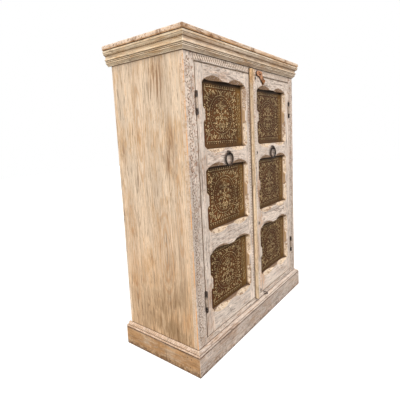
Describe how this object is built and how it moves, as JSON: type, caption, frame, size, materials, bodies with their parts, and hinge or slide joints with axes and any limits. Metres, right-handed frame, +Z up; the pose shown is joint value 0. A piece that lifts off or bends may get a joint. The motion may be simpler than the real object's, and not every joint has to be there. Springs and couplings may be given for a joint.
{
  "type": "two-door cabinet",
  "caption": "Tall wooden cabinet with a stepped cornice and plinth, inset doors with embossed brass panels, iron hinges, ring pulls and a hasp.",
  "frame": {"origin": "on the floor, under the centre of the outer box", "axes": "+Z up, the doors face -Y, +X to the right of someone who faces the doors"},
  "size_m": [0.898, 0.404, 1.2],
  "materials": {
    "side_wood": "worn pale wash over warm wood",
    "painted_wood": "worn white wash over carved wood",
    "trim_wood": "worn pale wash over warm wood",
    "inner_wood": "plain sawn wood",
    "brass": "darkened embossed sheet",
    "dark_iron": "dark and dull",
    "rusted_iron": "rusted"
  },
  "bodies": {
    "cabinet": {"side_left": "side_wood", "side_right": "side_wood", "back_boards": "inner_wood", "top_board": "trim_wood", "bottom_board": "inner_wood", "shelf_lower": "inner_wood", "shelf_upper": "inner_wood", "shelf_cleats": "inner_wood", "door_stop": "inner_wood", "frame_stile_left": "painted_wood", "frame_stile_right": "painted_wood", "frame_rail_top": "painted_wood", "frame_sill": "painted_wood", "cornice_front": "trim_wood", "cornice_left": "trim_wood", "cornice_right": "trim_wood", "plinth_front": "trim_wood", "plinth_left": "side_wood", "plinth_right": "side_wood", "plinth_back": "inner_wood", "frame_hinge_leaves": "dark_iron", "hinge_pins": "dark_iron", "latch_staple": "rusted_iron", "sill_staple": "dark_iron"},
    "left_door": {"left_hinge_stile": "painted_wood", "left_meeting_stile": "painted_wood", "left_rail_top": "painted_wood", "left_rail_upper": "painted_wood", "left_rail_lower": "painted_wood", "left_rail_bottom": "painted_wood", "left_board_top": "inner_wood", "left_board_middle": "inner_wood", "left_board_bottom": "inner_wood", "left_brass_top": "brass", "left_brass_middle": "brass", "left_brass_bottom": "brass", "left_hinge_leaves": "dark_iron", "left_ring_eye": "dark_iron"},
    "right_door": {"right_hinge_stile": "painted_wood", "right_meeting_stile": "painted_wood", "right_rail_top": "painted_wood", "right_rail_upper": "painted_wood", "right_rail_lower": "painted_wood", "right_rail_bottom": "painted_wood", "right_board_top": "inner_wood", "right_board_middle": "inner_wood", "right_board_bottom": "inner_wood", "right_brass_top": "brass", "right_brass_middle": "brass", "right_brass_bottom": "brass", "right_hinge_leaves": "dark_iron", "right_ring_eye": "dark_iron", "meeting_strip": "painted_wood", "strip_studs": "dark_iron", "hasp_staple": "rusted_iron"},
    "left_ring": {"left_ring": "dark_iron"},
    "right_ring": {"right_ring": "dark_iron"},
    "hasp": {"hasp": "rusted_iron"}
  },
  "joints": [
    {"name": "left_door_hinge", "type": "hinge", "parent": "cabinet", "child": "left_door", "pos_m": [-0.371, -0.1824, 0.606], "axis": [0, 0, -1], "range_deg": [0, 105]},
    {"name": "right_door_hinge", "type": "hinge", "parent": "cabinet", "child": "right_door", "pos_m": [0.371, -0.1824, 0.606], "axis": [0, 0, 1], "range_deg": [0, 105]},
    {"name": "left_ring_swing", "type": "hinge", "parent": "left_door", "child": "left_ring", "pos_m": [-0.19487, -0.1855, 0.7808], "axis": [-1, 0, 0], "range_deg": [0, 110]},
    {"name": "right_ring_swing", "type": "hinge", "parent": "right_door", "child": "right_ring", "pos_m": [0.17688, -0.1855, 0.7808], "axis": [-1, 0, 0], "range_deg": [0, 110]},
    {"name": "hasp_pivot", "type": "hinge", "parent": "right_door", "child": "hasp", "pos_m": [0.106, -0.1825, 1.074], "axis": [0.6557, 0, 0.755], "range_deg": [0, 110]}
  ]
}
